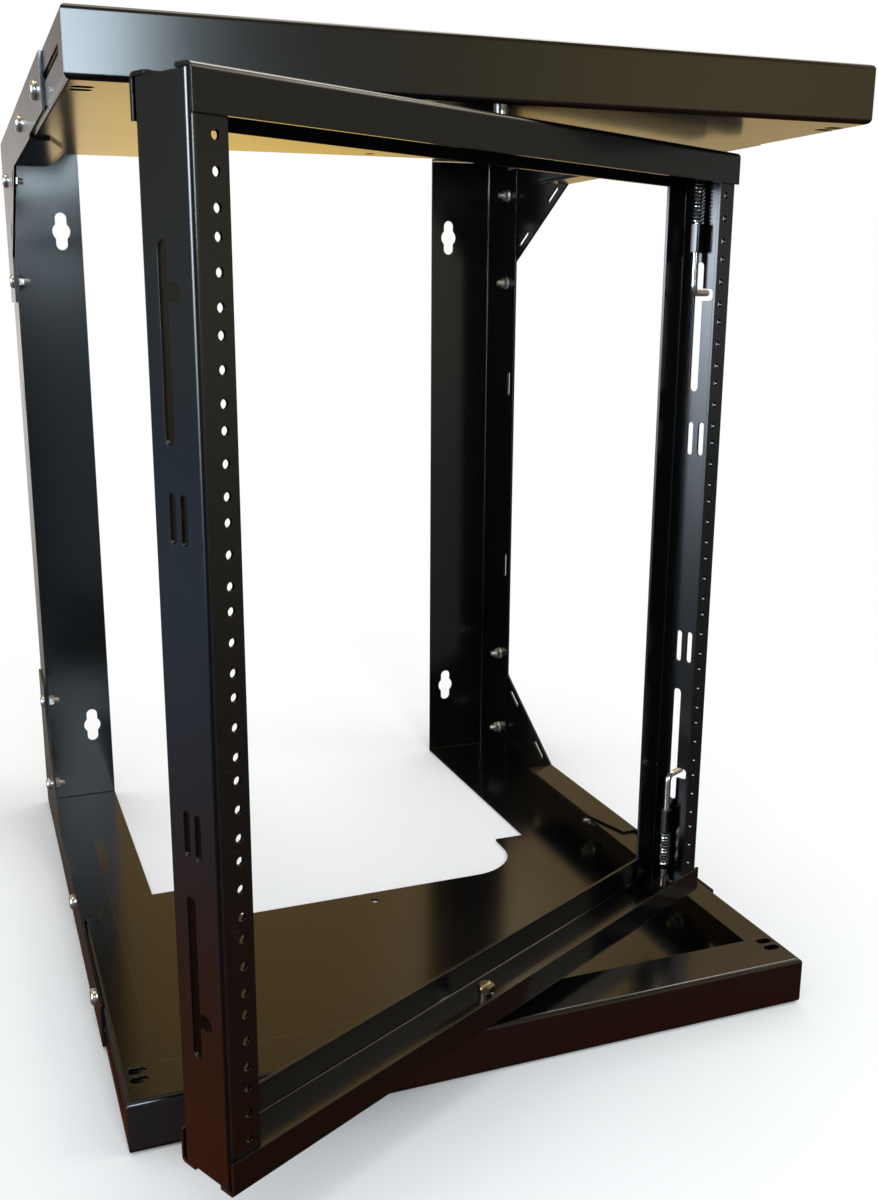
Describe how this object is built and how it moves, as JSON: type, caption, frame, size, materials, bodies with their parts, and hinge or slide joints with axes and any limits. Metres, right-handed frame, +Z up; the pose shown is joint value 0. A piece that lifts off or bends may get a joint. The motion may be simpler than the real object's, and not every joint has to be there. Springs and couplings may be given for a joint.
{
  "type": "hinged wall mount rack",
  "caption": "Swing-out open wall rack: flanged trays, folded corner plates and wall posts carry a pivoting rail frame with rack holes, slotted webs and spring-loaded latch pins.",
  "frame": {"origin": "middle of the wall plane at the level of the lower tray's underside", "axes": "+X to the right seen from the room, +Y towards the wall, +Z up"},
  "size_m": [0.5144, 0.7126, 0.666],
  "materials": {
    "black_powder_coat": "glossy black powder coat",
    "zinc_hardware": "bright zinc",
    "spring_steel": "drawn wire"
  },
  "bodies": {
    "frame": {"bottom_tray": "black_powder_coat", "top_tray": "black_powder_coat", "left_wall_post": "black_powder_coat", "right_wall_post": "black_powder_coat", "bottom_left_gusset": "black_powder_coat", "bottom_left_bolts": "zinc_hardware", "bottom_left_nuts": "zinc_hardware", "bottom_right_gusset": "black_powder_coat", "bottom_right_bolts": "zinc_hardware", "bottom_right_nuts": "zinc_hardware", "top_left_gusset": "black_powder_coat", "top_left_bolts": "zinc_hardware", "top_left_nuts": "zinc_hardware", "top_right_gusset": "black_powder_coat", "top_right_bolts": "zinc_hardware", "top_right_nuts": "zinc_hardware"},
    "gate": {"left_rack_rail": "black_powder_coat", "right_rack_rail": "black_powder_coat", "gate_bottom_channel": "black_powder_coat", "gate_top_channel": "black_powder_coat", "bottom_pivot_screw": "zinc_hardware", "top_pivot_screw": "zinc_hardware", "pivot_spacer": "zinc_hardware", "upper_pin_guide": "black_powder_coat", "lower_pin_guide": "black_powder_coat", "upper_pin_spring": "spring_steel", "lower_pin_spring": "spring_steel"},
    "upper_pin": {"upper_latch_pin": "zinc_hardware"},
    "lower_pin": {"lower_latch_pin": "zinc_hardware"}
  },
  "joints": [
    {"name": "frame_swing", "type": "hinge", "parent": "frame", "child": "gate", "pos_m": [0, -0.5795, 0.333], "axis": [0, 0, 1], "range_deg": [-26.87, 63.13]},
    {"name": "upper_pin_slide", "type": "slide", "parent": "gate", "child": "upper_pin", "axis": [0, 0, 1], "range_m": [0, 0.0055], "deforming": ["upper_pin_spring"]},
    {"name": "lower_pin_slide", "type": "slide", "parent": "gate", "child": "lower_pin", "axis": [0, 0, -1], "range_m": [0, 0.012], "deforming": ["lower_pin_spring"]}
  ]
}
